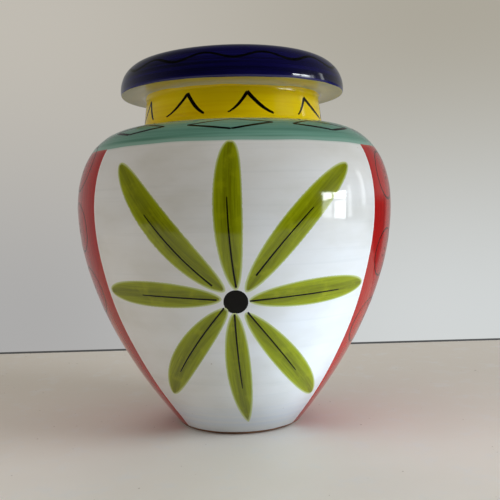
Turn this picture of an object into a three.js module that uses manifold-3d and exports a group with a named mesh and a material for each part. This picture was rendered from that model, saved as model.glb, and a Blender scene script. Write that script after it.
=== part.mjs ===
// A wheel-thrown earthenware vase: a full belly on a small turned foot, a flat shoulder,
// a short neck and a heavy rolled rim. The clay is thrown in sections that are joined with
// slip, and coated with coloured tin glazes, each in its own zone.
// Millimetres, +Z up, the origin at the centre of the foot, the painted front facing -Y.
import * as THREE from "three";
import { mergeVertices } from "three/addons/utils/BufferGeometryUtils.js";
import Module from "manifold-3d";

const wasm = await Module();
wasm.setup();

// Driving sizes.
const totalHeight = 230;
const bellyRadius = 100;
const bellyHeight = 138;
const footRadius = 40;
const footHoleRadius = 32.5;
const footRecess = 3;
const shoulderTop = 188.5;
const neckBaseRadius = 57.2;
const neckTopRadius = 55.6;
const neckTop = 206;
const rimRadius = 71.5;
const rimUnderside = 209.5;
const lipTopRadius = 55;
const mouthRadius = 48.5;
const mouthDepth = 10;
const wallThickness = 7.5;
const floorTop = 9;

// Coats and joints.
const glazeThickness = 0.6;
const gap = 0.3;
const gapOnShoulder = gap / 8;
const glazeAndGap = glazeThickness + gap;
const footJoint = 6;
const bareFootHeight = 1.6;
const neckJoint = 192.5;

// Borders of the glaze zones.
const tealBottom = 173.3;
const tealTop = 187.8;
const whitePanelHalfAngle = THREE.MathUtils.degToRad(52.5);

const turns = 36;
const point = (radius, height) => new THREE.Vector2(radius, height);

// The glazed outside, from the foot to the lip.
const lowerBelly = new THREE.CubicBezierCurve(
  point(footRadius, 0),
  point(footRadius + 20, 24),
  point(bellyRadius, bellyHeight - 58),
  point(bellyRadius, bellyHeight),
);
const shoulder = new THREE.CubicBezierCurve(
  point(bellyRadius, bellyHeight),
  point(bellyRadius, bellyHeight + 18),
  point(bellyRadius - 6, shoulderTop - 1),
  point(neckBaseRadius + 3, shoulderTop),
);
const neckFillet = new THREE.QuadraticBezierCurve(
  point(neckBaseRadius + 3, shoulderTop),
  point(neckBaseRadius, shoulderTop),
  point(neckBaseRadius, neckJoint),
);
const underRimFillet = new THREE.QuadraticBezierCurve(
  point(neckTopRadius, neckTop),
  point(neckTopRadius, rimUnderside),
  point(neckTopRadius + 4, rimUnderside),
);
const rimEdge = new THREE.QuadraticBezierCurve(
  point(rimRadius - 1, rimUnderside),
  point(rimRadius, rimUnderside),
  point(rimRadius, rimUnderside + 3),
);
const rimRoll = new THREE.CubicBezierCurve(
  point(rimRadius, rimUnderside + 3),
  point(rimRadius, totalHeight - 8),
  point(lipTopRadius + 9, totalHeight),
  point(lipTopRadius, totalHeight),
);
const lip = new THREE.CubicBezierCurve(
  point(lipTopRadius, totalHeight),
  point(mouthRadius + 1, totalHeight),
  point(mouthRadius, totalHeight - 4),
  point(mouthRadius, totalHeight - mouthDepth),
);

// The glazed inside, from the floor to the mouth.
const innerRadius = bellyRadius - wallThickness;
const innerShoulderTop = shoulderTop - wallThickness - 0.5;
const innerNeckRadius = neckBaseRadius - wallThickness;
const lowerInside = new THREE.CubicBezierCurve(
  point(footHoleRadius + 2, floorTop),
  point(footHoleRadius + 22, 31),
  point(innerRadius, bellyHeight - 56),
  point(innerRadius, bellyHeight),
);
const shoulderInside = new THREE.CubicBezierCurve(
  point(innerRadius, bellyHeight),
  point(innerRadius, bellyHeight + 16),
  point(innerRadius - 6, innerShoulderTop),
  point(innerNeckRadius + 8, innerShoulderTop),
);
const floorCentre = point(0, floorTop);
const neckInsideFillet = new THREE.QuadraticBezierCurve(
  point(innerNeckRadius + 8, innerShoulderTop),
  point(innerNeckRadius, innerShoulderTop),
  point(innerNeckRadius, neckJoint),
);

// The share of a rising curve at which it reaches a height.
function shareAtHeight(curve, height) {
  let low = 0;
  let high = 1;
  for (let step = 0; step < 40; step += 1) {
    const middle = (low + high) / 2;
    if (curve.getPoint(middle).y < height) low = middle;
    else high = middle;
  }
  return (low + high) / 2;
}

// Evenly spaced points of a rising curve between two heights.
function stretch(curve, fromHeight, toHeight, steps) {
  const first = shareAtHeight(curve, fromHeight);
  const last = shareAtHeight(curve, toHeight);
  const points = [];
  for (let step = 0; step <= steps; step += 1) {
    points.push(curve.getPoint(THREE.MathUtils.lerp(first, last, step / steps)));
  }
  return points;
}

// One line from several that follow each other, with each shared end kept once.
function chain(...lines) {
  const points = [];
  for (const next of lines.flat()) {
    if (!points.length || points.at(-1).distanceTo(next) > gap / 10) points.push(next);
  }
  return points;
}

// The line moved sideways, to the left of its direction when the distance is positive.
function moved(line, distance) {
  return line.map((here, index) => {
    const before = line[Math.max(index - 1, 0)];
    const after = line[Math.min(index + 1, line.length - 1)];
    const along = after.clone().sub(before).normalize();
    return point(here.x - along.y * distance, here.y + along.x * distance);
  });
}

// A solid of revolution from an outline that runs anticlockwise round the section.
function turned(outline) {
  const closed = outline[0].x === 0 ? outline : [...outline, outline[0]];
  return new THREE.LatheGeometry(closed, turns).rotateX(Math.PI / 2);
}

// A glaze coat on a line of the surface, with the clay on the line's left.
function coat(line) {
  return turned([...line, ...moved(line, glazeThickness).reverse()]);
}

// A clay section between an outside line and an inside line, both rising.
function claySection(outside, inside) {
  const inner = moved(inside, -glazeAndGap).reverse();
  return turned([...moved(outside, glazeAndGap), ...inner]);
}

// The band of a curve that lies between two joints, with half a slip gap at each.
function jointed(curve, fromHeight, toHeight, steps) {
  return stretch(curve, fromHeight + gap / 2, toHeight - gap / 2, steps);
}

function solidOf(geometry) {
  const bare = geometry.clone().deleteAttribute("normal").deleteAttribute("uv");
  const merged = mergeVertices(bare, 1e-4);
  return new wasm.Manifold(
    new wasm.Mesh({
      numProp: 3,
      vertProperties: merged.attributes.position.array,
      triVerts: new Uint32Array(merged.index.array),
    }),
  );
}

function geometryOf(solid) {
  const { vertProperties, triVerts } = solid.getMesh();
  const geometry = new THREE.BufferGeometry();
  geometry.setAttribute("position", new THREE.BufferAttribute(vertProperties, 3));
  geometry.setIndex(new THREE.BufferAttribute(triVerts, 1));
  return geometry;
}

// A wedge of space about the axis. Angles run from the front (-Y) towards +X.
function wedge(centreAngle, halfAngle) {
  const reach = bellyRadius * 2;
  const shape = new THREE.Shape([point(0, 0)]);
  for (const share of [-1, 0, 1]) {
    const angle = centreAngle + share * halfAngle;
    shape.lineTo(reach * Math.sin(angle), -reach * Math.cos(angle));
  }
  return new THREE.ExtrudeGeometry(shape, { depth: totalHeight, bevelEnabled: false });
}

function footRing() {
  const inside = footHoleRadius + gap / 2;
  const glazed = stretch(lowerBelly, bareFootHeight, footJoint - gap / 2, 1);
  const bare = stretch(lowerBelly, 0, bareFootHeight, 1);
  return turned([
    point(inside, 0),
    ...bare,
    ...moved(glazed, glazeAndGap),
    point(inside, footJoint - gap / 2),
  ]);
}

function baseFloor() {
  const edge = footHoleRadius - gap / 2;
  const top = floorTop - glazeAndGap;
  return turned([point(0, footRecess), point(edge, footRecess), point(edge, top), point(0, top)]);
}

function lowerWall() {
  const outside = jointed(lowerBelly, footJoint, bellyHeight, 8);
  const inside = [floorCentre, ...jointed(lowerInside, floorTop, bellyHeight, 7)];
  const heel = footHoleRadius + gap / 2;
  const section = [
    point(heel, footJoint + gap / 2),
    ...moved(outside, glazeAndGap),
    ...moved(inside, -glazeAndGap).slice(1).reverse(),
    point(heel, floorTop - glazeAndGap),
  ];
  return turned(section);
}

function shoulderWall() {
  const bottom = bellyHeight + gap / 2;
  const top = neckJoint - gap / 2;
  const outside = chain(
    stretch(shoulder, bottom, shoulderTop, 7),
    stretch(neckFillet, shoulderTop, top, 2),
  );
  const inside = chain(
    stretch(shoulderInside, bottom, innerShoulderTop, 6),
    stretch(neckInsideFillet, innerShoulderTop, top, 3),
  );
  return claySection(outside, inside);
}

function neckCollar() {
  const bottom = neckJoint + gap / 2;
  const top = neckTop - gap / 2;
  const outside = [point(neckBaseRadius, bottom), point(neckTopRadius, top)];
  const inside = [point(innerNeckRadius, bottom), point(mouthRadius, top)];
  return claySection(outside, inside);
}

function rimFlange() {
  const bottom = neckTop + gap / 2;
  const outside = chain(
    stretch(underRimFillet, bottom, rimUnderside, 3),
    rimEdge.getPoints(2),
    rimRoll.getPoints(6),
    lip.getPoints(3),
  );
  const heel = point(mouthRadius + glazeAndGap, bottom);
  return turned([...moved(outside, glazeAndGap), heel]);
}

// One side of the body's glaze, between two meridians.
function paintedPanel(centreAngle, halfAngle) {
  const line = chain(
    jointed(lowerBelly, bareFootHeight, bellyHeight, 9),
    jointed(shoulder, bellyHeight, tealBottom, 4),
  );
  const slit = gap / bellyRadius;
  const ring = solidOf(coat(line));
  return geometryOf(ring.intersect(solidOf(wedge(centreAngle, halfAngle - slit))));
}

// The shoulder is nearly level at its top, where a small step in height is a wide gap.
function shoulderGlaze() {
  return coat(stretch(shoulder, tealBottom + gap / 2, tealTop - gapOnShoulder, 4));
}

function neckGlaze() {
  const top = point(neckTopRadius, neckTop - gap / 2);
  const foot = stretch(shoulder, tealTop + gapOnShoulder, shoulderTop, 1);
  return coat(chain(foot, stretch(neckFillet, shoulderTop, neckJoint, 2), [top]));
}

function rimUndersideGlaze() {
  const edge = point(rimRadius - 1 - glazeThickness, rimUnderside);
  return coat(chain(stretch(underRimFillet, neckTop + gap / 2, rimUnderside, 3), [edge]));
}

function rimGlaze() {
  return coat(chain(rimEdge.getPoints(2), rimRoll.getPoints(6), lip.getPoints(3)));
}

function interiorGlaze() {
  const neckLine = [
    point(mouthRadius, neckTop),
    point(mouthRadius, totalHeight - mouthDepth - gap),
  ];
  const surface = chain(
    [floorCentre],
    stretch(lowerInside, floorTop, bellyHeight, 7),
    stretch(shoulderInside, bellyHeight, innerShoulderTop, 6),
    stretch(neckInsideFillet, innerShoulderTop, neckJoint, 3),
    neckLine,
  );
  return turned([...moved(surface, -glazeThickness), ...surface.reverse()]);
}

const finishes = {
  clay: { color: 0xa9653f, roughness: 0.85 },
  blue: { color: 0x0e1150, roughness: 0.12 },
  white: { color: 0xe9e9e4, roughness: 0.12 },
  yellow: { color: 0xe8c60a, roughness: 0.15 },
  teal: { color: 0x5f9484, roughness: 0.15 },
  red: { color: 0xc03028, roughness: 0.15 },
};

const group = new THREE.Group();

function add(name, finish, geometry) {
  const material = new THREE.MeshStandardMaterial({ ...finishes[finish], metalness: 0 });
  const mesh = new THREE.Mesh(geometry, material);
  mesh.name = name;
  group.add(mesh);
}

add("foot_ring", "clay", footRing());
add("base_floor", "clay", baseFloor());
add("lower_wall", "clay", lowerWall());
add("shoulder_wall", "clay", shoulderWall());
add("neck_collar", "clay", neckCollar());
add("rim_flange", "clay", rimFlange());

const quarter = Math.PI / 2;
const redPanelHalfAngle = quarter - whitePanelHalfAngle;
add("front_panel_glaze", "white", paintedPanel(0, whitePanelHalfAngle));
add("right_panel_glaze", "red", paintedPanel(quarter, redPanelHalfAngle));
add("back_panel_glaze", "white", paintedPanel(2 * quarter, whitePanelHalfAngle));
add("left_panel_glaze", "red", paintedPanel(3 * quarter, redPanelHalfAngle));

add("shoulder_glaze", "teal", shoulderGlaze());
add("neck_glaze", "yellow", neckGlaze());
add("rim_underside_glaze", "white", rimUndersideGlaze());
add("rim_glaze", "blue", rimGlaze());
add("interior_glaze", "white", interiorGlaze());

export default group;
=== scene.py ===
"""A talavera vase: glazed earthenware with a rolled blue rim, a yellow neck, a teal shoulder,
white sides painted with a green flower and red sides painted with rings.

The glaze is built in millimetres on one line that runs up the outside of the vase, over the
rim and down the inside. A place on it is an azimuth, which runs from the front (-Y) towards
+X, and a distance along that line from the foot."""

import math

import bpy
import numpy as np
from mathutils import Matrix, Vector

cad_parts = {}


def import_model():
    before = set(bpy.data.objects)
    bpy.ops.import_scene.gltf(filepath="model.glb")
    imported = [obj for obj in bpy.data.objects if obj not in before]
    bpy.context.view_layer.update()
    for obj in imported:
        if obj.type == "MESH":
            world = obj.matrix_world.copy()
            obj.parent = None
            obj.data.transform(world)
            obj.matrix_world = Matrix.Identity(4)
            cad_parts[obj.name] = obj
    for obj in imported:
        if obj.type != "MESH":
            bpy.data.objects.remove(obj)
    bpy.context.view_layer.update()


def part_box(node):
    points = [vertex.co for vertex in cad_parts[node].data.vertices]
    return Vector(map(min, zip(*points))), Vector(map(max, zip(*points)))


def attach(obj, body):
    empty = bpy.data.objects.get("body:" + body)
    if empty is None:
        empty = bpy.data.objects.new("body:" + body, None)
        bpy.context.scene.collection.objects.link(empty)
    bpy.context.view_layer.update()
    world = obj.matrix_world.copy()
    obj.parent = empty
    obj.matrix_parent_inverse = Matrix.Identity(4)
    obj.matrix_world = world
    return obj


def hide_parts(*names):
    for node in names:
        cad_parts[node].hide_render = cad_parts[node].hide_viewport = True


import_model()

MM = 0.001


def lowest(node):
    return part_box(node)[0] / MM


def highest(node):
    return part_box(node)[1] / MM


# ---------------------------------------------------------------- the line of the surface

# Driving sizes in millimetres. The ones that the frame holds are read from it.
TOTAL_HEIGHT = highest("rim_glaze").z
RIM_RADIUS = highest("rim_glaze").x
BELLY_RADIUS = highest("right_panel_glaze").x
BELLY_HEIGHT = 138
FOOT_RADIUS = 40
FOOT_HOLE_RADIUS = 32.5
FOOT_RECESS = lowest("base_floor").z
BARE_FOOT_HEIGHT = lowest("front_panel_glaze").z
SHOULDER_TOP = 188.5
NECK_BASE_RADIUS = 57.2
NECK_TOP_RADIUS = 55.6
NECK_JOINT = 192.5
RIM_UNDERSIDE = lowest("rim_glaze").z
LIP_TOP_RADIUS = 55
MOUTH_RADIUS = 48.5
MOUTH_DEPTH = 10
WALL = 7.5
INNER_RADIUS = BELLY_RADIUS - WALL
INNER_NECK_RADIUS = NECK_BASE_RADIUS - WALL
INNER_SHOULDER_TOP = SHOULDER_TOP - WALL - 0.5
FLOOR_TOP = 9
GLAZE = 0.5

TEAL_BOTTOM = lowest("shoulder_glaze").z
TEAL_TOP = highest("shoulder_glaze").z
NECK_TOP = highest("neck_glaze").z


def curve(*control, steps=60):
    """Points on the Bezier curve with these control points."""
    share = np.linspace(0, 1, steps + 1)[:, None]
    points = [np.array(p, float) * np.ones_like(share) for p in control]
    while len(points) > 1:
        points = [a + (b - a) * share for a, b in zip(points, points[1:])]
    return points[0]


WIDEST = (BELLY_RADIUS, BELLY_HEIGHT)
SHOULDER_EDGE = (NECK_BASE_RADIUS + 3, SHOULDER_TOP)
NECK_FOOT = (NECK_BASE_RADIUS, NECK_JOINT)
NECK_HEAD = (NECK_TOP_RADIUS, NECK_TOP)
UNDER_RIM = (NECK_TOP_RADIUS + 4, RIM_UNDERSIDE)
RIM_LOW_EDGE = (RIM_RADIUS - 1, RIM_UNDERSIDE)
RIM_SIDE = (RIM_RADIUS, RIM_UNDERSIDE + 3)
LIP = (LIP_TOP_RADIUS, TOTAL_HEIGHT)
MOUTH_HIGH = (MOUTH_RADIUS, TOTAL_HEIGHT - MOUTH_DEPTH)
MOUTH_LOW = (MOUTH_RADIUS, NECK_TOP)
NECK_FOOT_INSIDE = (INNER_NECK_RADIUS, NECK_JOINT)
SHOULDER_EDGE_INSIDE = (INNER_NECK_RADIUS + 8, INNER_SHOULDER_TOP)
WIDEST_INSIDE = (INNER_RADIUS, BELLY_HEIGHT)
FLOOR_EDGE = (FOOT_HOLE_RADIUS + 2, FLOOR_TOP)

OUTLINE_PARTS = {
    "lower_belly": curve(
        (FOOT_RADIUS, 0), (FOOT_RADIUS + 20, 24), (BELLY_RADIUS, BELLY_HEIGHT - 58), WIDEST
    ),
    "shoulder": curve(
        WIDEST, (BELLY_RADIUS, BELLY_HEIGHT + 18), (BELLY_RADIUS - 6, SHOULDER_TOP - 1), SHOULDER_EDGE
    ),
    "neck_fillet": curve(SHOULDER_EDGE, (NECK_BASE_RADIUS, SHOULDER_TOP), NECK_FOOT),
    "neck": curve(NECK_FOOT, NECK_HEAD),
    "under_rim": curve(NECK_HEAD, (NECK_TOP_RADIUS, RIM_UNDERSIDE), UNDER_RIM),
    "underside": curve(UNDER_RIM, RIM_LOW_EDGE),
    "rim_edge": curve(RIM_LOW_EDGE, (RIM_RADIUS, RIM_UNDERSIDE), RIM_SIDE),
    "rim_roll": curve(RIM_SIDE, (RIM_RADIUS, TOTAL_HEIGHT - 8), (LIP_TOP_RADIUS + 9, TOTAL_HEIGHT), LIP),
    "lip": curve(LIP, (MOUTH_RADIUS + 1, TOTAL_HEIGHT), (MOUTH_RADIUS, TOTAL_HEIGHT - 4), MOUTH_HIGH),
    "mouth": curve(MOUTH_HIGH, MOUTH_LOW),
    "neck_inside": curve(MOUTH_LOW, NECK_FOOT_INSIDE),
    "neck_inside_fillet": curve(
        NECK_FOOT_INSIDE, (INNER_NECK_RADIUS, INNER_SHOULDER_TOP), SHOULDER_EDGE_INSIDE
    ),
    "shoulder_inside": curve(
        SHOULDER_EDGE_INSIDE,
        (INNER_RADIUS - 6, INNER_SHOULDER_TOP),
        (INNER_RADIUS, BELLY_HEIGHT + 16),
        WIDEST_INSIDE,
    ),
    "belly_inside": curve(
        WIDEST_INSIDE, (INNER_RADIUS, BELLY_HEIGHT - 56), (FOOT_HOLE_RADIUS + 22, 31), FLOOR_EDGE
    ),
    "floor": curve(FLOOR_EDGE, (0, FLOOR_TOP)),
}
OUTLINE = np.vstack([part[:-1] for part in OUTLINE_PARTS.values()] + [OUTLINE_PARTS["floor"][-1:]])
ALONG = np.concatenate([[0], np.cumsum(np.hypot(*np.diff(OUTLINE, axis=0).T))])
STARTS = dict(zip(OUTLINE_PARTS, ALONG[:: len(OUTLINE_PARTS["floor"]) - 1]))
END = ALONG[-1]


def radius_at(along):
    return np.interp(along, ALONG, OUTLINE[:, 0])


def height_at(along):
    return np.interp(along, ALONG, OUTLINE[:, 1])


def along_at_height(height):
    """The distance along the outside, up to the top of the neck, at which it reaches this height."""
    outside = ALONG <= STARTS["under_rim"]
    return np.interp(height, OUTLINE[outside, 1], ALONG[outside])


def ease(value):
    """A smooth step from 0 to 1 as the value goes from 0 to 1."""
    share = np.clip(value, 0, 1)
    return share * share * (3 - 2 * share)


def unevenness(azimuth, along):
    """How far the hand-thrown surface stands out from a true turned one, in millimetres. It
    fades out towards the foot, which is turned flat."""
    slow = 0.20 * np.sin(2 * azimuth + along / 38) + 0.10 * np.sin(3 * azimuth - along / 21 + 1.3)
    rings = 0.014 * np.sin(along / 1.1 + 0.6 * np.sin(azimuth)) * (0.5 + 0.5 * np.sin(along / 17))
    return (slow + rings) * ease(along / 14)


def flat_surface(azimuth, along, lift):
    """Points on the true turned surface, moved out along its normal."""
    step = 0.15
    before, after = np.clip(along - step, 0, END), np.clip(along + step, 0, END)
    out, up = height_at(after) - height_at(before), radius_at(before) - radius_at(after)
    length = np.hypot(out, up)
    radius = radius_at(along) + lift * out / length
    height = height_at(along) + lift * up / length
    return np.stack([radius * np.sin(azimuth), -radius * np.cos(azimuth), height], axis=-1)


def surface(azimuth, along, lift=0.0):
    azimuth, along = np.broadcast_arrays(np.asarray(azimuth, float), np.asarray(along, float))
    return flat_surface(azimuth, along, lift + unevenness(azimuth, along))


def normals(azimuth, along):
    """The surface's outward normals, from how it runs on either side of each place."""
    turn, step = 0.004, 0.3
    around = surface(azimuth + turn, along) - surface(azimuth - turn, along)
    # Near the axis the line has nothing to turn round, so the floor's own normal serves.
    flat = np.hypot(around[..., 0], around[..., 1]) < 1e-3
    above, below = np.minimum(along + step, END), np.maximum(along - step, 0)
    upward = surface(azimuth, above) - surface(azimuth, below)
    found = np.cross(around, upward)
    found[flat] = (0, 0, 1)
    return found / np.linalg.norm(found, axis=-1, keepdims=True)


# ---------------------------------------------------------------- thin closed pieces of glaze


class Coat:
    """Patches of glaze gathered into one mesh. Each patch is a grid of places on the surface,
    in rows that run along it, and is closed by its underside and its edges."""

    def __init__(self):
        self.points, self.faces, self.normals, self.smooth, self.values = [], [], [], [], {}
        self.count = 0

    def add(self, azimuth, along, top, bottom, ring=False, apex=False, **values):
        """ring joins the last column to the first. apex draws the last row into one point."""
        rows, columns = azimuth.shape
        index = np.arange(rows * columns).reshape(rows, columns) + self.count
        if apex:
            index[-1] = index[-1, 0]
        across = np.column_stack([index, index[:, 0]]) if ring else index
        outer = surface(azimuth, along, top).reshape(-1, 3)
        inner = surface(azimuth, along, bottom).reshape(-1, 3)
        outward = normals(azimuth, along).reshape(-1, 3)
        self.points += [outer, inner]
        under = rows * columns
        corners = [across[:-1, :-1], across[:-1, 1:], across[1:, 1:], across[1:, :-1]]
        quads = np.stack(corners, axis=-1).reshape(-1, 4)
        self._faces(quads, outward, False)
        self._faces(quads[:, ::-1], -outward, False, under)
        edges = [across[0, ::-1]]
        if not apex:
            edges.append(across[-1])
        if not ring:
            edges += [across[:, 0], across[::-1, -1]]
        for edge in edges:
            walls = np.stack([edge[:-1], edge[1:], edge[1:] + under, edge[:-1] + under], axis=-1)
            self._faces(walls, None, True)
        for name, value in values.items():
            flat = np.broadcast_to(value, azimuth.shape).ravel()
            self.values.setdefault(name, []).append(np.concatenate([flat, flat]))
        self.count += 2 * under
        return self

    def _faces(self, quads, outward, wall, shift=0):
        """Faces with these corners. Those of a wall are flat; the rest take the outward normals.
        Corners that coincide, as at an apex, become one."""
        first = self.count
        for quad in quads.tolist():
            face = [corner for place, corner in enumerate(quad) if corner != quad[place - 1]]
            self.faces.append([corner + shift for corner in face])
            self.smooth.append(not wall)
            self.normals += [(0, 0, 0) if wall else tuple(outward[corner - first]) for corner in face]

    def build(self, name, material, slot, *nodes):
        """The mesh object, riding on the vase. It takes the place of the named CAD nodes."""
        mesh = bpy.data.meshes.new(name)
        mesh.from_pydata((np.vstack(self.points) * MM).tolist(), [], self.faces)
        mesh.polygons.foreach_set("use_smooth", self.smooth)
        for value_name, value in self.values.items():
            attribute = mesh.attributes.new(value_name, "FLOAT", "POINT")
            attribute.data.foreach_set("value", np.concatenate(value).astype(np.float32))
        mesh.normals_split_custom_set(self.normals)
        return place(mesh, name, material, slot, *nodes)


def place(mesh, name, material, slot, *nodes):
    piece = bpy.data.objects.new(name, mesh)
    bpy.context.scene.collection.objects.link(piece)
    mesh.materials.append(material)
    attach(piece, "root")
    if nodes:
        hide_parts(*nodes)
    return piece


# ---------------------------------------------------------------- finishes


class Nodes:
    """Short ways to add nodes to a tree."""

    def __init__(self, tree):
        self.nodes, self.links = tree.nodes, tree.links
        self.nodes.clear()

    def add(self, kind, setup=None, **inputs):
        """A node. setup holds its own settings; inputs are numbers, colours or sockets."""
        node = self.nodes.new(kind)
        for key, value in (setup or {}).items():
            setattr(node, key, value)
        for key, value in inputs.items():
            self.set(node, key.replace("_", " "), value)
        return node

    def set(self, node, key, value):
        socket = node.inputs[int(key)] if key.isdigit() else node.inputs[key]
        if isinstance(value, bpy.types.NodeSocket):
            self.links.new(value, socket)
        elif hasattr(value, "__len__") and len(value) == 3 and socket.type == "RGBA":
            socket.default_value = (*value, 1)
        else:
            socket.default_value = value

    def math(self, operation, first, second=0.0):
        node = self.add("ShaderNodeMath", {"operation": operation})
        self.set(node, "0", first)
        self.set(node, "1", second)
        return node.outputs[0]

    def spread(self, value, low, high, start=0.0, end=1.0):
        """The value's run from low to high, mapped smoothly to start to end."""
        node = self.add(
            "ShaderNodeMapRange",
            {"interpolation_type": "SMOOTHSTEP"},
            **{"Value": value, "From_Min": low, "From_Max": high, "To_Min": start, "To_Max": end},
        )
        return node.outputs["Result"]

    def mix(self, share, first, second):
        node = self.add("ShaderNodeMix", {"data_type": "RGBA"})
        self.set(node, "0", share)
        self.set(node, "6", first)
        self.set(node, "7", second)
        return node.outputs[2]

    def ramp(self, value, shares, tones):
        """The tones at these shares of the value, with an even change between them."""
        node = self.add("ShaderNodeValToRGB", Fac=value)
        elements = node.color_ramp.elements
        while len(elements) < len(tones):
            elements.new(0.5)
        for element, share, tone in zip(elements, shares, tones):
            element.position = share
            element.color = (*tone, 1)
        return node.outputs["Color"]

    def combined(self, x, y, z=0.0):
        return self.add("ShaderNodeCombineXYZ", X=x, Y=y, Z=z).outputs[0]

    def noise(self, vector, scale, detail=2.0, roughness=0.5):
        settings = {"Scale": scale, "Detail": detail, "Roughness": roughness}
        return self.add("ShaderNodeTexNoise", Vector=vector, **settings).outputs["Fac"]


class Finish(Nodes):
    """A material, with the textures and relief that the finishes share."""

    def __init__(self, name, **settings):
        self.material = bpy.data.materials.new(name)
        self.material.use_nodes = True
        super().__init__(self.material.node_tree)
        self.shader = self.add("ShaderNodeBsdfPrincipled", **settings)
        self.add("ShaderNodeOutputMaterial", Surface=self.shader.outputs["BSDF"])

    def value(self, name):
        """A number that the mesh carries at each of its points."""
        return self.add("ShaderNodeAttribute", {"attribute_name": name}).outputs["Fac"]

    def place(self):
        return self.add("ShaderNodeTexCoord").outputs["Object"]

    def stretched(self, x, y, z):
        """The place on the vase, with each axis scaled."""
        return self.add("ShaderNodeMapping", Vector=self.place(), Scale=(x, y, z)).outputs[0]

    def colour(self, socket):
        self.set(self.shader, "Base Color", socket)

    def gloss(self, low, high, scale=60):
        """Roughness that varies from place to place, as a glaze that ran unevenly."""
        patchy = self.noise(self.place(), scale, detail=3)
        self.set(self.shader, "Roughness", self.spread(patchy, 0.3, 0.7, start=low, end=high))

    def relief(self, *layers):
        """Bumps on the surface, each a height and the depth in millimetres that it stands for."""
        before = None
        for height, depth in layers:
            node = self.add("ShaderNodeBump", Height=height, Strength=1.0, Distance=depth * MM)
            if before:
                self.set(node, "Normal", before)
            before = node.outputs["Normal"]
        self.set(self.shader, "Normal", before)

    def glaze_relief(self, depth=0.05):
        """The slight waviness of a thick glaze, the faint rings of the throwing under it, and
        a few pinholes."""
        wavy = self.noise(self.stretched(1, 1, 1.4), scale=95)
        rings = self.noise(self.stretched(6, 6, 520), scale=1, detail=1)
        fine = self.noise(self.place(), scale=900)
        self.relief((wavy, depth), (rings, depth * 0.16), (fine, depth * 0.02))


# Colours are linear red, green and blue. A glaze's tones run from its dark places to its light
# ones, and its edge is where it thins out.
GROUND_TONES = (0.74, 0.735, 0.69), (0.80, 0.80, 0.775), (0.83, 0.84, 0.83)
GROUND_LINE = (0.66, 0.68, 0.66)
GROUND_EDGE = (0.92, 0.91, 0.89)
# Painted bounce light: the bluish light that the table throws up onto the low white.
PAINTED_BOUNCE_BLUE = (0.66, 0.73, 0.83)
IRON_SPECK = (0.30, 0.22, 0.13)
TEAL_STAIN = (0.45, 0.58, 0.52)
# Painted shade under the rim, yellowed for the light thrown up from the neck.
UNDER_RIM_SHADE = (0.38, 0.34, 0.05)
RED_TONES = (0.34, 0.002, 0.002), (0.41, 0.005, 0.004), (0.48, 0.018, 0.013)
RED_EDGE = (0.52, 0.10, 0.06)
TEAL_TONES = (0.085, 0.22, 0.16), (0.145, 0.33, 0.255), (0.21, 0.42, 0.34)
TEAL_EDGE = (0.28, 0.47, 0.39)
YELLOW_TONES = (0.84, 0.59, 0.001), (0.91, 0.68, 0.001), (0.95, 0.74, 0.002)
YELLOW_EDGE = (0.80, 0.52, 0.001)
BLUE_TONES = (0.002, 0.002, 0.016), (0.004, 0.003, 0.045), (0.008, 0.007, 0.09)
BLUE_EDGE = (0.010, 0.010, 0.13)
GREEN_TONES = (0.15, 0.165, 0.0005), (0.22, 0.25, 0.001), (0.32, 0.37, 0.006)
GREEN_BLOT = (0.36, 0.40, 0.004)
GREEN_EDGE = (0.62, 0.67, 0.33)
BLACK_TONES = (0.001, 0.001, 0.001), (0.005, 0.005, 0.004)
BROWN_TONES = (0.012, 0.006, 0.005), (0.035, 0.014, 0.011)
# The clay's own tones darkened by about a quarter: painted shade, as the bare foot stands in shadow.
SHADED_CLAY_TONES = (0.18, 0.09, 0.05), (0.26, 0.135, 0.075), (0.34, 0.19, 0.11)
GROG = (0.14, 0.065, 0.035)

FULL_SHINE = 0.5
SOFT_SHINE = 0.3
FAINT_SHINE = 0.2


def glaze_finish(name, shine=FULL_SHINE):
    """A finish with a glaze's reflections. shine is how strong they are."""
    return Finish(name, IOR=1.5, Specular_IOR_Level=shine)


def white_tone(finish):
    """The colour of the tin-white ground: thin and warm in places, with a few iron specks."""
    cloudy = finish.noise(finish.stretched(1, 1, 2.2), scale=26, detail=3)
    ground = finish.ramp(cloudy, (0.3, 0.5, 0.72), GROUND_TONES)
    lines = finish.noise(finish.stretched(9, 9, 420), scale=1)
    banded = finish.mix(finish.spread(lines, 0.52, 0.75, end=0.22), ground, GROUND_LINE)
    cells = finish.add("ShaderNodeTexVoronoi", {"feature": "F1"}, Vector=finish.place(), Scale=170.0)
    rare = finish.add("ShaderNodeTexWhiteNoise", Vector=cells.outputs["Position"]).outputs["Value"]
    dot = finish.spread(cells.outputs["Distance"], 0.05, 0.09, start=1, end=0)
    speck = finish.math("MULTIPLY", dot, finish.math("GREATER_THAN", rare, 0.95))
    return finish.mix(finish.math("MULTIPLY", speck, 0.45), banded, IRON_SPECK)


def white_glaze():
    """White glaze. It is brighter in a narrow line beside the red, is stained by the teal above it
    and turns bluish towards the foot in faint level lines: painted bounce light from the table."""
    finish = glaze_finish("white_glaze")
    side = finish.spread(finish.value("side_gap"), 0.7, 1.5, start=0.85, end=0)
    bright = finish.mix(side, white_tone(finish), GROUND_EDGE)
    top = finish.spread(finish.value("high_gap"), 0.2, 1.6, start=0.35, end=0)
    stained = finish.mix(top, bright, TEAL_STAIN)
    # Painted bounce light: a bluish tint in faint level lines over the lowest 40 mm of the white.
    lines = finish.noise(finish.stretched(5, 5, 300), scale=1)
    low = finish.spread(finish.value("low_gap"), 4, 40, start=0.8, end=0)
    painted_bounce_light = finish.math("MULTIPLY", finish.spread(lines, 0.42, 0.64, start=0.45, end=0.95), low)
    finish.colour(finish.mix(painted_bounce_light, stained, PAINTED_BOUNCE_BLUE))
    finish.gloss(0.05, 0.11)
    finish.glaze_relief()
    return finish.material


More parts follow.
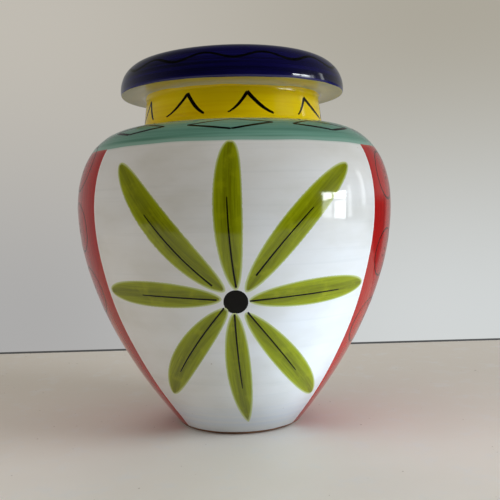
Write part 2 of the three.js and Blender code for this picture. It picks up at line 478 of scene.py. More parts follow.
def inside_glaze():
    """The white inside, poured in and left to run."""
    finish = glaze_finish("inside_white_glaze")
    finish.colour(white_tone(finish))
    finish.gloss(0.08, 0.16)
    finish.glaze_relief(0.07)
    return finish.material


def underside_glaze():
    """The white under the rim, darker and yellower towards its outer edge: painted shade under the
    rim, tinted by the yellow light that the neck throws up.
    """
    finish = glaze_finish("underside_glaze", FAINT_SHINE)
    # Painted shade: the underside darkened and yellowed, more so away from the neck.
    painted_shade = finish.spread(finish.value("low_gap"), 1, 14, start=0.4, end=0.85)
    finish.colour(finish.mix(painted_shade, white_tone(finish), UNDER_RIM_SHADE))
    finish.gloss(0.08, 0.16)
    finish.glaze_relief()
    return finish.material


def red_glaze():
    """Red glaze, brushed on from top to bottom in streaks of several depths."""
    finish = glaze_finish("red_glaze")
    across = finish.math("MULTIPLY", finish.value("around"), 0.55)
    up = finish.math("MULTIPLY", finish.value("up"), 0.018)
    streaks = finish.noise(finish.combined(across, up), scale=1, detail=3, roughness=0.6)
    body = finish.ramp(streaks, (0.28, 0.5, 0.72), RED_TONES)
    thin = finish.spread(finish.value("high_gap"), 0.0, 2.5, start=0.5, end=0)
    finish.colour(finish.mix(thin, body, RED_EDGE))
    finish.gloss(0.06, 0.13)
    finish.glaze_relief()
    return finish.material


def banded_glaze(name, tones, edge, edge_width, shine=FULL_SHINE):
    """A coloured glaze laid on with a loaded brush while the vase turned, so that fine level
    lines show in it. It thins to another tone at its lower border."""
    finish = glaze_finish(name, shine)
    lines = finish.noise(finish.stretched(7, 7, 620), scale=1, detail=3, roughness=0.6)
    broad = finish.noise(finish.stretched(10, 10, 130), scale=1)
    depth = finish.math("ADD", finish.math("MULTIPLY", lines, 0.6), finish.math("MULTIPLY", broad, 0.4))
    body = finish.ramp(depth, (0.34, 0.5, 0.68), tones)
    thin = finish.spread(finish.value("low_gap"), edge_width * 0.4, edge_width, start=0.8, end=0)
    finish.colour(finish.mix(thin, body, edge))
    finish.gloss(0.06, 0.13)
    finish.glaze_relief()
    return finish.material


def leaf_glaze():
    """Green brushwork: streaks along the stroke, deeper in the middle, feathered at the edge."""
    finish = glaze_finish("green_glaze")
    sideways = finish.math("MULTIPLY", finish.value("sideways"), 0.75)
    travel = finish.math("MULTIPLY", finish.value("travel"), 0.03)
    streaks = finish.noise(finish.combined(sideways, travel), scale=1, detail=3, roughness=0.65)
    from_middle = finish.math("ABSOLUTE", finish.value("across"))
    depth = finish.math("ADD", streaks, finish.spread(from_middle, 0.15, 0.9, end=0.35))
    body = finish.ramp(depth, (0.38, 0.6, 0.95), GREEN_TONES)
    blots = finish.noise(finish.place(), scale=110, detail=3, roughness=0.6)
    washed = finish.mix(finish.spread(blots, 0.5, 0.72, end=0.45), body, GREEN_BLOT)
    feather = finish.spread(finish.value("edge_gap"), 0.5, 1.9, start=0.9, end=0)
    finish.colour(finish.mix(feather, washed, GREEN_EDGE))
    finish.gloss(0.06, 0.12)
    finish.glaze_relief()
    return finish.material


def line_glaze(name, tones):
    """The dark pigment of the thin brush lines."""
    finish = glaze_finish(name, FAINT_SHINE)
    finish.colour(finish.ramp(finish.noise(finish.place(), scale=500), (0.4, 0.75), tones))
    finish.gloss(0.06, 0.14)
    finish.glaze_relief()
    return finish.material


def clay():
    """Bare fired earthenware: matt, sandy, with turning lines and darker grog."""
    finish = Finish("earthenware", Specular_IOR_Level=0.25)
    patches = finish.noise(finish.place(), scale=55, detail=4)
    grain = finish.noise(finish.place(), scale=1400, roughness=0.7)
    lines = finish.noise(finish.stretched(12, 12, 700), scale=1)
    # Painted shade: these tones are darkened for the shadow that the foot stands in.
    body = finish.ramp(patches, (0.3, 0.55, 0.75), SHADED_CLAY_TONES)
    dark = finish.spread(grain, 0.58, 0.72, end=0.5)
    finish.colour(finish.mix(dark, body, GROG))
    finish.set(finish.shader, "Roughness", finish.spread(patches, 0.3, 0.7, start=0.75, end=0.92))
    finish.relief((lines, 0.25), (grain, 0.12))
    return finish.material


WHITE = white_glaze()
INSIDE = inside_glaze()
UNDERSIDE = underside_glaze()
RED = red_glaze()
TEAL = banded_glaze("teal_glaze", TEAL_TONES, TEAL_EDGE, 3.5)
YELLOW = banded_glaze("yellow_glaze", YELLOW_TONES, YELLOW_EDGE, 2.5, SOFT_SHINE)
BLUE = banded_glaze("blue_glaze", BLUE_TONES, BLUE_EDGE, 1.6)
GREEN = leaf_glaze()
BLACK = line_glaze("black_line", BLACK_TONES)
BROWN = line_glaze("brown_line", BROWN_TONES)
CLAY = clay()

# ---------------------------------------------------------------- the glaze zones

# The gap, in millimetres, to an edge that isn't there.
FAR = 99.0

PANEL_HALF_ANGLE = math.radians(52.5)
PANEL_COLUMNS = 100
PANEL_ROWS = 130
RING_COLUMNS = 300


def hand(angle, seed, amount):
    """How far a hand-held brush strays from a true circle, at this angle round it."""
    broad = np.sin(3 * angle + seed)
    narrow = 0.6 * np.sin(7 * angle + 2.1 * seed) + 0.35 * np.sin(17 * angle + 3.7 * seed)
    return amount * (broad + narrow)


def border(along, seed):
    """The same for a line that runs up the vase, in radians."""
    return 0.006 * np.sin(along / 31 + seed) + 0.0025 * np.sin(along / 9 + 2.3 * seed)


def bare_foot_line(azimuth):
    return along_at_height(BARE_FOOT_HEIGHT) + hand(azimuth, 1.0, 0.12)


def teal_white_line(azimuth):
    return along_at_height(TEAL_BOTTOM) + hand(azimuth, 2.0, 0.35)


def yellow_teal_line(azimuth):
    return along_at_height(TEAL_TOP) + hand(azimuth, 3.0, 0.5)


def neck_white_line(azimuth):
    return STARTS["under_rim"] + 2.6 + hand(azimuth, 4.0, 0.35)


def white_blue_line(azimuth):
    return STARTS["rim_edge"] + 0.4 + hand(azimuth, 5.0, 0.2)


def blue_inside_line(azimuth):
    return STARTS["mouth"] - 1 + hand(azimuth, 6.0, 0.6)


def floor_middle(azimuth):
    return END + 0 * azimuth


def ring_zone(name, material, slot, low_line, high_line, rows, node):
    """A zone that goes all the way round, between two lines. The inside's closes in one point."""
    azimuth = np.tile(np.linspace(-math.pi, math.pi, RING_COLUMNS, endpoint=False), (rows + 1, 1))
    share = np.linspace(0, 1, rows + 1)[:, None]
    low, high = low_line(azimuth), high_line(azimuth)
    along = low + (high - low) * share
    values = {"low_gap": along - low, "high_gap": high - along, "side_gap": FAR}
    apex = high_line is floor_middle
    coat = Coat().add(azimuth, along, 0.0, -GLAZE, ring=True, apex=apex, **values)
    return coat.build(name, material, slot, node)


def panel_zone(name, material, slot, centre, half_angle, seeds, node):
    """A side of the body between two borders that run up it."""
    share_across = np.linspace(0, 1, PANEL_COLUMNS + 1)[None, :]
    share_up = np.linspace(0, 1, PANEL_ROWS + 1)[:, None]
    nominal = centre + half_angle * (2 * share_across - 1) + 0 * share_up
    guess = bare_foot_line(nominal) + (teal_white_line(nominal) - bare_foot_line(nominal)) * share_up
    left_stray, right_stray = (border(guess, seed) for seed in seeds)
    azimuth = nominal + left_stray * (1 - share_across) + right_stray * share_across
    low, high = bare_foot_line(azimuth), teal_white_line(azimuth)
    along = low + (high - low) * share_up
    side_gap = np.minimum(share_across, 1 - share_across) * 2 * half_angle * radius_at(along)
    values = {"low_gap": along - low, "high_gap": high - along, "side_gap": side_gap}
    values["around"] = (azimuth - centre) * BELLY_RADIUS
    values["up"] = along
    return Coat().add(azimuth, along, 0.0, -GLAZE, **values).build(name, material, slot, node)


QUARTER = math.pi / 2
RED_HALF_ANGLE = QUARTER - PANEL_HALF_ANGLE
BORDER_SEEDS = (0.4, 1.9, 3.1, 4.4)
SIDES = (
    ("front_panel", WHITE, "white_glaze", PANEL_HALF_ANGLE),
    ("right_panel", RED, "red_glaze", RED_HALF_ANGLE),
    ("back_panel", WHITE, "white_glaze", PANEL_HALF_ANGLE),
    ("left_panel", RED, "red_glaze", RED_HALF_ANGLE),
)


# Each band starts at its own line and ends where the next one starts.
BANDS = (
    (teal_white_line, "teal_shoulder", TEAL, "teal_glaze", 40, "shoulder_glaze"),
    (yellow_teal_line, "yellow_neck", YELLOW, "yellow_glaze", 40, "neck_glaze"),
    (neck_white_line, "white_underside", UNDERSIDE, "white_glaze", 30, "rim_underside_glaze"),
    (white_blue_line, "blue_rim", BLUE, "blue_glaze", 70, "rim_glaze"),
    (blue_inside_line, "inside", INSIDE, "white_glaze", 150, "interior_glaze"),
)


def glaze_zones():
    """Every zone of glaze: the four sides, then the bands from the shoulder up and over."""
    for turn, (name, material, slot, half_angle) in enumerate(SIDES):
        seeds = BORDER_SEEDS[turn], BORDER_SEEDS[(turn + 1) % len(SIDES)]
        panel_zone(name, material, slot, turn * QUARTER, half_angle, seeds, name + "_glaze")
    high_lines = [band[0] for band in BANDS[1:]] + [floor_middle]
    for (low_line, name, material, slot, rows, node), high_line in zip(BANDS, high_lines):
        ring_zone(name, material, slot, low_line, high_line, rows, node)


glaze_zones()

# ---------------------------------------------------------------- the clay


def turned(name, section, node):
    """A smooth clay solid of revolution from an outline that runs round its section."""
    section = np.array(section, float)
    count = len(section)
    angles = np.linspace(0, 2 * math.pi, RING_COLUMNS, endpoint=False)
    points = [(r * math.sin(a), -r * math.cos(a), z) for a in angles for r, z in section]
    faces = []
    for column in range(RING_COLUMNS):
        here, there = column * count, (column + 1) % RING_COLUMNS * count
        for low in range(count):
            high = (low + 1) % count
            faces.append((here + low, there + low, there + high, here + high))
    mesh = bpy.data.meshes.new(name)
    mesh.from_pydata((np.array(points) * MM).tolist(), [], faces)
    mesh.shade_smooth()
    mesh.set_sharp_from_angle(angle=math.radians(40))
    return place(mesh, name, CLAY, "earthenware", node)


def outline_stretch(low, high, count, inset=0.0):
    """Points of the outline between two distances along it, moved in from it."""
    return [(radius_at(along) - inset, height_at(along)) for along in np.linspace(low, high, count)]


def foot_ring():
    """The turned foot, bare where it stands, with its lower edges worn round."""
    top = highest("foot_ring").z
    bare_top = along_at_height(BARE_FOOT_HEIGHT)
    worn_inside = [(FOOT_HOLE_RADIUS, 0.7), (FOOT_HOLE_RADIUS + 0.2, 0.2), (FOOT_HOLE_RADIUS + 0.7, 0)]
    worn_outside = [(FOOT_RADIUS - 0.6, 0), (FOOT_RADIUS + 0.1, 0.25)]
    bare = outline_stretch(0.9, bare_top, 3)
    glazed = outline_stretch(bare_top, along_at_height(top), 4, inset=GLAZE * 1.6)
    turned("foot", [*worn_inside, *worn_outside, *bare, *glazed, (FOOT_HOLE_RADIUS, top)], "foot_ring")


def base():
    """The underside within the foot, with the shallow rings that the turning tool leaves. It
    dips where it meets the foot."""
    middle, edge = 0.4, FOOT_HOLE_RADIUS + 0.2
    top = highest("base_floor").z
    radii = np.linspace(middle, edge, 60)
    rings = 0.18 * np.sin(radii / 1.3) * ease((edge - radii) / 3)
    dip = 0.9 * ease((radii - edge + 4) / 4)
    turned("base", [*zip(radii, FOOT_RECESS + rings - dip), (edge, top), (middle, top)], "base_floor")


CLAY_DEPTH = GLAZE + 0.5
JOINT = 0.2


def clay_wall(name, node, *stretches, start=()):
    """A section of the thrown wall, hidden under the glaze on both sides. Its outline is made
    of stretches of the vase's, each from one distance along it to another."""
    alongs = np.concatenate([np.linspace(low, high, 30) for low, high in stretches])
    places = flat_surface(0.0, alongs, -CLAY_DEPTH)
    turned(name, [*start, *zip(-places[:, 1], places[:, 2])], node)


def clay_walls():
    """The wall's four sections, with a thin joint between one and the next."""
    floor = lowest("lower_wall").z
    heel = [(FOOT_HOLE_RADIUS + JOINT, FLOOR_TOP - CLAY_DEPTH), (FOOT_HOLE_RADIUS + JOINT, floor)]
    clay_wall(
        "lower_clay",
        "lower_wall",
        (along_at_height(floor), STARTS["shoulder"] - JOINT),
        (STARTS["belly_inside"] + JOINT, STARTS["floor"] - 1),
        start=heel,
    )
    clay_wall(
        "shoulder_clay",
        "shoulder_wall",
        (STARTS["shoulder"] + JOINT, STARTS["neck"] - JOINT),
        (STARTS["neck_inside_fillet"] + JOINT, STARTS["belly_inside"] - JOINT),
    )
    clay_wall(
        "neck_clay",
        "neck_collar",
        (STARTS["neck"] + JOINT, STARTS["under_rim"] - JOINT),
        (STARTS["neck_inside"] + JOINT, STARTS["neck_inside_fillet"] - JOINT),
    )
    clay_wall(
        "rim_clay",
        "rim_flange",
        (STARTS["under_rim"] + JOINT, STARTS["rim_edge"]),
        (STARTS["rim_roll"], STARTS["neck_inside"] - JOINT),
    )


foot_ring()
base()
clay_walls()

# ---------------------------------------------------------------- brushwork

# How far paint stands above the glaze, and how far a stroke's edge dips below it.
PAINT = 0.07
DIP = 0.04
LINE_COLUMNS, SPOT_COLUMNS, LEAF_COLUMNS = 4, 10, 14


def brushed(coat, path, half, columns, ground=0.0, closed=False):
    """A stroke along a path of (azimuth, along) places, with its half-widths in millimetres. The
    paint is thickest within and dips into what it lies on at its edge. ground is the height of
    paint that it crosses."""
    path = np.array(path, float)
    metric = np.column_stack([radius_at(path[:, 1]), np.ones(len(path))])
    lengths = np.hypot(*(np.diff(path, axis=0) * metric[1:]).T)
    travel = np.concatenate([[0], np.cumsum(lengths)])[:, None]
    steps = np.gradient(path, axis=0) * metric
    if closed:
        steps[0] = steps[-1] = steps[0] + steps[-1]
    steps /= np.linalg.norm(steps, axis=1, keepdims=True)
    across = np.linspace(-1, 1, columns + 1)[None, :]
    offset = across * half[:, None]
    azimuth = path[:, :1] + offset * steps[:, 1:] / metric[:, :1]
    along = path[:, 1:] - offset * steps[:, :1]
    ends = np.minimum(travel, travel[-1] - travel) + (FAR if closed else 0)
    edge_gap = np.minimum((1 - np.abs(across)) * half[:, None], ends)
    top = ground + PAINT - (PAINT + DIP) * np.maximum(np.abs(across) ** 6, np.exp(-ends / 0.15))
    values = {"across": across, "sideways": offset, "travel": travel, "edge_gap": edge_gap}
    coat.add(azimuth, along, top, -GLAZE * 0.6, **values)


def line(coat, path, widths, ground=0.0, closed=False):
    """A thin brush line. widths are its widths at even shares of its length."""
    shares = np.linspace(0, 1, len(path))
    half = np.interp(shares, np.linspace(0, 1, len(widths)), widths) / 2
    brushed(coat, path, half, LINE_COLUMNS, ground, closed)


def spot(coat, azimuth, along, half_width, half_height):
    """A round or oval dab of paint."""
    turn = np.linspace(-0.97, 0.97, 21) * math.pi / 2
    rise = half_height * np.sin(turn)
    width = half_width * np.cos(turn)
    brushed(coat, np.column_stack([azimuth + 0 * rise, along + rise]), width, SPOT_COLUMNS)


# The flower, in millimetres from its centre: each leaf's start and tip, how far it bows to the
# left of the line between them, its width, how sharp its tip is, and its vein's two ends.
FLOWER_AZIMUTH = math.radians(-0.6)
FLOWER_HEIGHT = 88
VEIN_WIDTHS = (1.3, 1.1, 1.0, 0.6)
EYE_HALF_WIDTH, EYE_HALF_HEIGHT = 7.3, 6.9
LEAVES = {
    "north": ((0.3, 6.8), (-0.7, 88), 2.8, 17.2, 0.44, (0.4, 8.2), (-3.2, 56.5)),
    "north_east": ((5.4, 5.6), (68.2, 74), 3.4, 18.2, 0.5, (10.9, 14.6), (43.7, 50.2)),
    "east": ((7, 0.5), (83.5, 5.4), 0.8, 17, 0.5, (7.3, 0.3), (61.9, 3.3)),
    "south_east": ((4.9, -6.6), (49.6, -71.8), 1.3, 17, 0.5, (6.1, -6.3), (34.1, -48.3)),
    "south": ((-0.9, -6.2), (5.2, -89.5), -1.4, 15.4, 0.7, (-0.9, -7.1), (2.3, -59.2)),
    "south_west": ((-4.6, -3.7), (-42.4, -67.6), -4.4, 18, 0.56, (-6.3, -3.4), (-34.3, -47.5)),
    "west": ((-7.4, 1.7), (-81.4, 4.8), -0.9, 16.7, 0.48, (-10, 1.4), (-54.1, 3.6)),
    "north_west": ((-5.6, 6.2), (-67, 77), 3.9, 19.2, 0.5, (-12.1, 9.5), (-49.6, 48.3)),
}


def on_flower(centre, points):
    """Places on the surface from points in millimetres about the flower's centre."""
    along = along_at_height(FLOWER_HEIGHT) + points[:, 1]
    return np.column_stack([centre + points[:, 0] / radius_at(along), along])


def bowed(start, end, bow, steps):
    """Points from start to end on a line that bows to the left, and the share of each."""
    start, end = np.array(start, float), np.array(end, float)
    share = (1 - np.cos(np.linspace(0, math.pi, steps + 1))) / 2
    along = (end - start) / np.linalg.norm(end - start)
    left = np.array([-along[1], along[0]])
    points = start + np.outer(share, end - start) + np.outer(4 * bow * share * (1 - share), left)
    return points, share


def leaf_breadth(share, point):
    """How broad a leaf is at each share of its length, as a share of its full width. The higher
    base and point are, the sharper its two ends."""
    base = 0.54
    widest = base / (base + point)
    return (share / widest) ** base * ((1 - share) / (1 - widest)) ** point


def leaf(centre, start, tip, bow, width, point):
    """One leaf's stroke, pressed out and lifted off without quite closing at its ends."""
    points, share = bowed(start, tip, bow, 48)
    half = width / 2 * leaf_breadth(np.clip(share, 0.0015, 0.9985), point)
    coat = Coat()
    brushed(coat, on_flower(centre, points), half, LEAF_COLUMNS)
    return coat


def flower(side, centre):
    """Eight leaves about a black eye, each with a thin vein drawn outwards from the eye."""
    veins = Coat()
    for name, (start, tip, bow, width, point, vein_start, vein_tip) in LEAVES.items():
        leaf(centre, start, tip, bow, width, point).build(f"{side}_leaf_{name}", GREEN, "green_glaze")
        points, _ = bowed(vein_start, vein_tip, bow * 0.3, 24)
        line(veins, on_flower(centre, points), VEIN_WIDTHS, ground=PAINT)
    veins.build(f"{side}_veins", BLACK, "black_glaze")
    eye = Coat()
    spot(eye, centre, along_at_height(FLOWER_HEIGHT), EYE_HALF_WIDTH, EYE_HALF_HEIGHT)
    eye.build(f"{side}_eye", BLACK, "black_glaze")


flower("front", FLOWER_AZIMUTH)
flower("back", FLOWER_AZIMUTH + math.pi)


def spline(places, steps):
    """(azimuth in radians, along) points on the Bezier curve with these (degrees, along) controls."""
    points = curve(*places, steps=steps)
    return points * (math.pi / 180, 1)


CARET_TOP, CARET_FOOT = 243.5, 231
LEFT_LEG_WIDTHS = (2.5, 1.9, 1.0)
RIGHT_LEG_WIDTHS = (2.8, 2.6, 1.5)


def caret(coat, apex, left_foot, right_foot):
    """An upside-down V whose legs flare at the foot. Places are (degrees, along)."""
    for foot, widths in ((left_foot, LEFT_LEG_WIDTHS), (right_foot, RIGHT_LEG_WIDTHS)):
        start = (apex[0] - 0.04 * (foot[0] - apex[0]), apex[1])
        knee = (apex[0] + (foot[0] - apex[0]) * 0.5, foot[1] + 2.2)
        line(coat, spline((start, knee, foot), 14), widths)


def neck_carets():
    """Ten carets round the neck, four of them a little irregular at the front."""
    coat = Coat()
    caret(coat, (-63.5, CARET_TOP), (-78, CARET_FOOT), (-57.5, CARET_FOOT))
    caret(coat, (-27.5, CARET_TOP + 0.5), (-44, CARET_FOOT), (-16.5, CARET_FOOT))
    caret(coat, (8.8, CARET_TOP), (-3.2, CARET_FOOT), (24.8, CARET_FOOT - 0.4))
    caret(coat, (49.5, CARET_TOP - 1.5), (42, CARET_FOOT - 0.4), (71, CARET_FOOT + 0.5))
    for apex in np.linspace(49.5, 360 - 63.5, 8)[1:-1]:
        caret(coat, (apex, CARET_TOP), (apex - 14, CARET_FOOT), (apex + 13, CARET_FOOT))
    coat.build("neck_carets", BLACK, "black_glaze")


def diamond(coat, left, top, right, bottom):
    """Four strokes that cross a little at the corners, the lower two with a fuller brush."""
    strokes = ((left, top, 1.7), (top, right, 1.8), (left, bottom, 2.4), (bottom, right, 2.4))
    for start, end, width in strokes:
        over = 0.02 * (np.array(end, float) - start)
        line(coat, spline((start - over, end + over), 16), (width * 0.85, width, width * 0.85))


def shoulder_diamonds():
    """Nine long diamonds round the shoulder, three of them a little irregular at the front."""
    coat = Coat()
    diamond(coat, (-18.2, 205), (-0.8, 212.5), (16, 206.5), (-0.8, 199.4))
    diamond(coat, (24, 204.8), (34, 211), (55, 203.8), (41.8, 199.6))
    diamond(coat, (-57, 204), (-42, 211.6), (-28.2, 205.2), (-44.2, 199.8))
    for middle in np.linspace(80, 278, 6):
        diamond(
            coat, (middle - 16, 204.8), (middle - 1, 212), (middle + 16, 205.5), (middle + 1, 199.6)
        )
    coat.build("shoulder_diamonds", BLACK, "black_glaze")


# Half-widths and half-heights of the rings in the outer columns and in the middle one, and of
# the dots inside them.
OUTER_RING = (17.5, 14.8)
MIDDLE_RING = (14.5, 13.5)
DOT = (1.2, 1.1)
RING_WIDTHS = (1.0, 1.4, 1.1, 1.4, 0.9)


def painted_ring(coat, azimuth, along, size, seed):
    """An oval drawn in one stroke that ends a little past its start, with two dots inside. size
    is its half-width and half-height."""
    half_width, half_height = size
    turn = np.linspace(0, 2.04 * math.pi, 73) + seed
    stray = 1 + 0.02 * np.sin(2 * turn + 3 * seed)
    out = azimuth + half_width / radius_at(along) * np.cos(turn) * stray
    line(coat, np.column_stack([out, along + half_height * np.sin(turn) * stray]), RING_WIDTHS)
    for rise in (-2.1, 1.9):
        spot(coat, azimuth + 0.004 * rise, along + rise, *DOT)


def side_rings(name, middle, front, heights):
    """Three columns of painted rings on a red side, the middle one staggered. front is the
    turn from the side's middle to the column nearest the front."""
    coat = Coat()
    for step, turn in enumerate((front, -front)):
        for place, along in enumerate(heights):
            painted_ring(coat, middle + turn, along, OUTER_RING, place + 2 * step)
    between = (np.array(heights[:-1]) + heights[1:]) / 2
    for place, along in enumerate([*between, heights[-1] - 22]):
        painted_ring(coat, middle, along, MIDDLE_RING, place + 0.5)
    coat.build(name, BROWN, "black_glaze")


def rim_wave():
    """One wavy line round the roll of the rim."""
    waves, first_crest = 13, math.radians(15)
    azimuth = np.linspace(-math.pi, math.pi, 721)
    swing = np.cos(waves * (azimuth - first_crest))
    along = STARTS["rim_roll"] + 9.8 + 2.1 * swing + hand(azimuth, 7.0, 0.25)
    coat = Coat()
    line(coat, np.column_stack([azimuth, along]), (2.0, 2.5, 1.9, 2.4, 2.0), closed=True)
    coat.build("rim_wave", BLACK, "black_glaze")


neck_carets()
shoulder_diamonds()
side_rings("right_rings", QUARTER, math.radians(-22), (171.4, 124, 79.7))
side_rings("left_rings", 3 * QUARTER, math.radians(19), (180, 143.5, 104))
rim_wave()

# ---------------------------------------------------------------- stage, light and camera

# Sizes and places from here on are in metres.


def plain_mesh(name, points, faces, material):
    mesh = bpy.data.meshes.new(name)
    mesh.from_pydata(points, [], faces)
    mesh.materials.append(material)
    made = bpy.data.objects.new(name, mesh)
    bpy.context.scene.collection.objects.link(made)


TABLE_BACK, TABLE_FRONT, TABLE_SIDE, TABLE_THICKNESS = 0.225, -0.65, 1.1, 0.03
JOINT_WIDTH, JOINT_RISE = 0.002, 0.0014

PALE_TABLE = (0.86, 0.84, 0.80), (0.92, 0.91, 0.88)
# Painted shade: the table darker and yellower towards its back.
PAINTED_SHADE_AT_BACK = (0.74, 0.71, 0.66)
RUBBED_TABLE = (0.80, 0.84, 0.88)
CRUMBS = (0.35, 0.31, 0.27)
# Painted shadow: the dark of the gap between the table and the wall.
GAP_SHADOW_TONES = (0.09, 0.10, 0.11), (0.14, 0.15, 0.16)


def slab(low, high):
    """The corners and faces of a box between two opposite corners."""
    plan = ((low[0], low[1]), (high[0], low[1]), (high[0], high[1]), (low[0], high[1]))
    points = [(x, y, z) for z in (low[2], high[2]) for x, y in plan]
    return points, [(3, 2, 1, 0), (4, 5, 6, 7), (0, 1, 5, 4), (1, 2, 6, 5), (2, 3, 7, 6), (3, 0, 4, 7)]


def table_finish():
    """Pale paint with painted shade that darkens and yellows it towards the back, with rubbed
    patches and a few crumbs.
    """
    finish = Finish("table", Roughness=0.55, Specular_IOR_Level=0.25)
    worn = finish.noise(finish.place(), scale=7, detail=4)
    pale = finish.ramp(worn, (0.35, 0.65), PALE_TABLE)
    # Painted shade, darker towards the back of the table.
    depth = finish.add("ShaderNodeSeparateXYZ", Vector=finish.place()).outputs["Y"]
    ground = finish.mix(finish.spread(depth, -0.2, 0.15), pale, PAINTED_SHADE_AT_BACK)
    cloudy = finish.noise(finish.place(), scale=55, detail=5, roughness=0.7)
    rubbed = finish.mix(finish.spread(cloudy, 0.5, 0.7, end=0.3), ground, RUBBED_TABLE)
    peaks = finish.noise(finish.place(), scale=260, detail=1)
    finish.colour(finish.mix(finish.spread(peaks, 0.76, 0.8, end=0.7), rubbed, CRUMBS))
    return finish.material


def gap_shadow_finish():
    # Painted shadow: a dark strip where the gap behind the table lies in shade.
    finish = Finish("joint", Roughness=0.6)
    finish.colour(finish.ramp(finish.noise(finish.place(), scale=4), (0.4, 0.6), GAP_SHADOW_TONES))
    return finish.material


def table():
    """A pale table top whose back edge lies behind the vase, with a dark strip along it: painted
    shadow in the gap between the table and the wall.
    """
    top = slab((-TABLE_SIDE, TABLE_FRONT, -TABLE_THICKNESS), (TABLE_SIDE, TABLE_BACK, 0))
    plain_mesh("table", *top, table_finish())
    joint_end = (TABLE_SIDE, TABLE_BACK + JOINT_WIDTH, JOINT_RISE)
    joint = slab((-TABLE_SIDE, TABLE_BACK, -TABLE_THICKNESS), joint_end)
    plain_mesh("joint", *joint, gap_shadow_finish())


def seen_wall(tree, x, z):
    """The pale wall that the camera sees, with a tone for each corner of the view: painted light
    and shade on the wall.
    """
    down, right = tree.spread(z, 0.27, -0.17), tree.spread(x, -0.3, 0.3)
    left_wall = tree.mix(down, (0.53, 0.50, 0.445), (0.41, 0.405, 0.40))
    right_wall = tree.mix(down, (0.41, 0.385, 0.325), (0.64, 0.665, 0.665))
    return tree.mix(right, left_wall, right_wall)


def mirrored_room(tree, x, y, z):
    """The dim room that the glaze mirrors: lighter where the wall is, behind the vase, with a
    shaded patch low on the right."""
    behind = tree.spread(y, -0.9, 1.0, start=0.01, end=0.37)
    overhead = tree.math("MINIMUM", tree.math("SUBTRACT", 1.05, z), 1.0)
    on_the_right = tree.math("MULTIPLY", tree.spread(x, 0.60, 0.70), tree.spread(y, 0.3, 0.4))
    shaded = tree.math("MULTIPLY", on_the_right, tree.spread(z, 0.08, 0.0, start=0, end=0.8))
    lit = tree.math("MULTIPLY", behind, overhead)
    grey = tree.math("MULTIPLY", lit, tree.math("SUBTRACT", 1.0, shaded))
    return tree.combined(grey, grey, tree.math("MULTIPLY", grey, 0.95))


def world():
    """The room. The camera sees its pale wall all round, the vase reflects a dim room with that
    wall behind, and what lights the vase is the light that such a room scatters."""
    room = bpy.data.worlds.new("room")
    bpy.context.scene.world = room
    room.use_nodes = True
    tree = Nodes(room.node_tree)
    way = tree.add("ShaderNodeTexCoord").outputs["Generated"]
    x, y, z = tree.add("ShaderNodeSeparateXYZ", Vector=way).outputs
    scattered = tree.mix(tree.spread(z, 0.3, 0.9), (0.03, 0.03, 0.03), (0.52, 0.48, 0.41))
    ray = tree.add("ShaderNodeLightPath").outputs
    shown = tree.mix(ray["Is Glossy Ray"], scattered, mirrored_room(tree, x, y, z))
    shown = tree.mix(ray["Is Camera Ray"], shown, seen_wall(tree, x, z))
    background = tree.add("ShaderNodeBackground", Color=shown)
    tree.add("ShaderNodeOutputWorld", Surface=background.outputs[0])


# What a light of brightness 1 takes, in Blender's own watts.
WATTS_PER_SQUARE_METRE = 4


def area_light(name, place, facing, width, height, brightness, colour, mirrored):
    """A rectangular light whose surface has this brightness, unseen by the camera. Either the
    vase mirrors it and takes no other light from it, or the light only scatters off the vase."""
    data = bpy.data.lights.new(name, "AREA")
    data.shape = "RECTANGLE"
    data.size, data.size_y, data.color = width, height, colour
    data.energy = WATTS_PER_SQUARE_METRE * width * height * brightness
    lamp = bpy.data.objects.new(name, data)
    bpy.context.scene.collection.objects.link(lamp)
    lamp.location = place
    lamp.rotation_mode = "QUATERNION"
    lamp.rotation_quaternion = (-facing).to_track_quat("Z", "Y")
    lamp.visible_camera = False
    lamp.visible_glossy = mirrored
    lamp.visible_diffuse = not mirrored


def way_to(azimuth, elevation):
    """The direction with this azimuth, from the front to +X, and elevation, in degrees."""
    around, up = math.radians(azimuth), math.radians(elevation)
    return Vector((math.sin(around) * math.cos(up), -math.cos(around) * math.cos(up), math.sin(up)))


VASE_MIDDLE = Vector((0, 0, 0.12))
WINDOW_DISTANCE = 3
SOFTBOX_DISTANCE = 1.5
DAYLIGHT = (0.93, 0.98, 1)


def opening(name, left, right, low, high, brightness):
    """A bright opening mirrored in the glaze, between two azimuths and two elevations."""
    way = way_to((left + right) / 2, (low + high) / 2)
    width = WINDOW_DISTANCE * math.radians(right - left)
    height = WINDOW_DISTANCE * math.radians(high - low)
    area_light(name, VASE_MIDDLE + way * WINDOW_DISTANCE, -way, width, height, brightness, DAYLIGHT, True)


def softbox(name, azimuth, elevation, size, brightness, colour):
    """A broad light that leaves no reflection in the glaze."""
    way = way_to(azimuth, elevation)
    area_light(name, VASE_MIDDLE + way * SOFTBOX_DISTANCE, -way, size, size, brightness, colour, False)


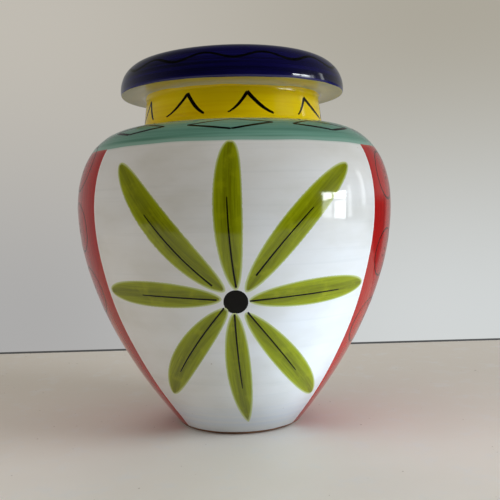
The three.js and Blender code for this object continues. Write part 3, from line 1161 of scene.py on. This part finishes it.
def window():
    """A low window of two panes on the right, brighter above than below, as the glaze mirrors it,
    with a curtain beside it, and a narrow window further back."""
    for side, left, right, below in (("near", 61.3, 69.4, 5), ("far", 70.8, 81.6, 8)):
        opening(f"{side}_pane_above", left, right, low=4.2, high=8.7, brightness=19)
        opening(f"{side}_pane_below", left, right, low=-6, high=3.6, brightness=below)
    opening("curtain", left=84, right=87.5, low=-5, high=12, brightness=3)
    opening("narrow_window", left=98.5, right=103, low=-1, high=19, brightness=2)


def lights():
    """What lights the vase: softboxes on either side and behind, and the daylight thrown up by
    the table in front of it."""
    softbox("right_softbox", azimuth=72, elevation=20, size=0.7, brightness=6.2, colour=(0.96, 1, 1.05))
    softbox("left_softbox", azimuth=-75, elevation=15, size=0.8, brightness=1.95, colour=(1, 0.96, 0.95))
    softbox("back_softbox", azimuth=180, elevation=35, size=0.8, brightness=1.6, colour=(1, 0.97, 0.93))
    above_table, upwards, size = Vector((0.12, -0.13, 0.003)), Vector((0, 0, 1)), 0.14
    area_light("table_bounce", above_table, upwards, size, size, 2.0, (0.78, 1, 1.3), False)


# The camera's place, its lens and sensor in millimetres, and its turns in radians.
CAMERA_PLACE = (0, -0.4501, 0.1363)
CAMERA_LENS, SENSOR_WIDTH = 49.26, 36
PITCH, ROLL, YAW = 0.0584, -0.0244, 0.0200


def camera():
    """The photograph's viewpoint: a little above the belly, almost level."""
    data = bpy.data.cameras.new("camera")
    data.sensor_width, data.lens = SENSOR_WIDTH, CAMERA_LENS
    seen_from = bpy.data.objects.new("camera", data)
    bpy.context.scene.collection.objects.link(seen_from)
    level = math.cos(PITCH)
    forward = Vector((math.sin(YAW) * level, math.cos(YAW) * level, -math.sin(PITCH)))
    level_right = Vector((math.cos(YAW), -math.sin(YAW), 0))
    level_up = level_right.cross(forward)
    right = level_right * math.cos(ROLL) + level_up * math.sin(ROLL)
    up = level_up * math.cos(ROLL) - level_right * math.sin(ROLL)
    turn = Matrix((right, up, -forward)).transposed()
    seen_from.matrix_world = Matrix.Translation(CAMERA_PLACE) @ turn.to_4x4()
    bpy.context.scene.camera = seen_from


table()
world()
window()
lights()
camera()
bpy.context.scene.view_settings.view_transform = "Standard"
